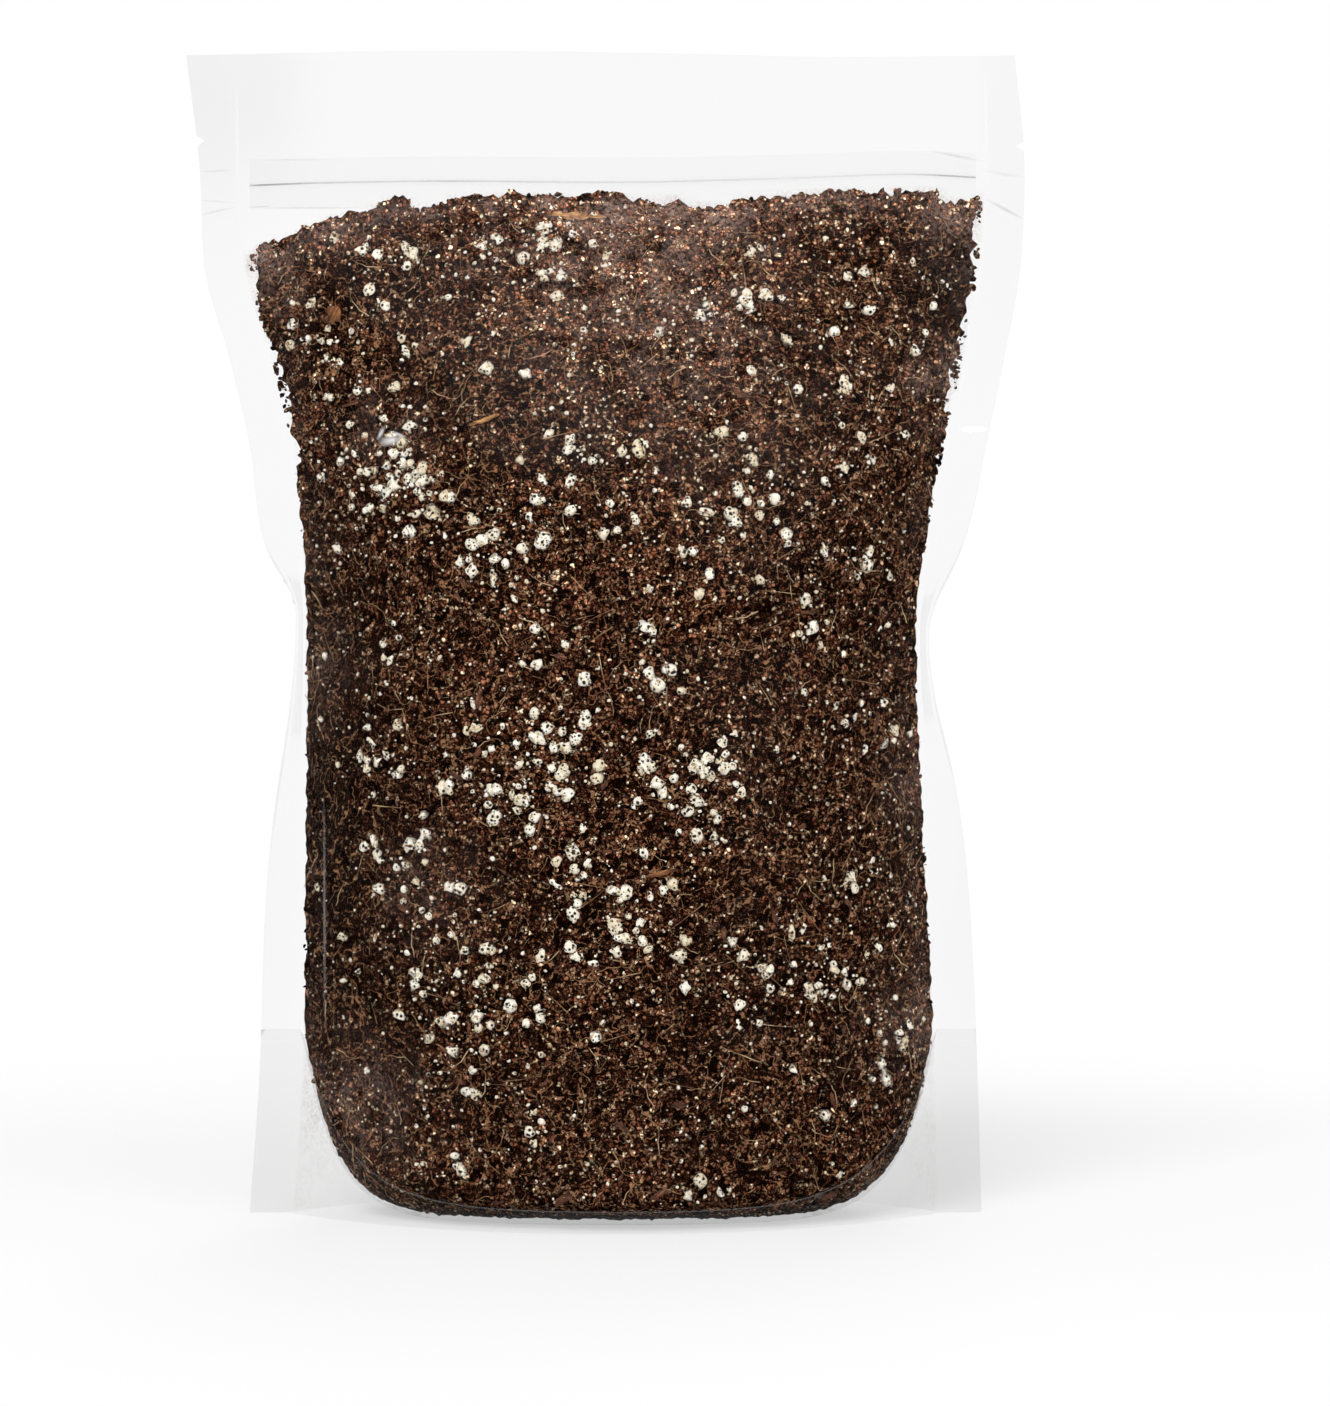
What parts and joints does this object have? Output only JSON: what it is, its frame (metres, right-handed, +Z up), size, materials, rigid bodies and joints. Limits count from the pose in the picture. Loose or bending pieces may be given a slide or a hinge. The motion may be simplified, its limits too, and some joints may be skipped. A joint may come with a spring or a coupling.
{
  "type": "filled stand-up pouch of compost",
  "caption": "Clear stand-up film pouch with a bottom gusset, side seals, a press zip and tear notches, filled with dark compost and white perlite.",
  "frame": {"origin": "on the floor at the middle of the pouch's box, between front and back and between the sides", "axes": "+Z up, +X to the right as the front is seen, the front panel faces -Y"},
  "size_m": [0.2126, 0.0867, 0.2955],
  "materials": {
    "clear_film": "clear glossy polyethylene and polyester film",
    "zip_track": "extruded clear polyethylene, slightly milky",
    "compost_mix": "loose dark brown crumbs with white perlite, bark chips and root fibres, matte"
  },
  "bodies": {
    "root": {"front_panel": "clear_film", "back_panel": "clear_film", "bottom_gusset": "clear_film", "zip_groove_track": "zip_track", "zip_rib_track": "zip_track", "compost_fill": "compost_mix"}
  },
  "joints": []
}
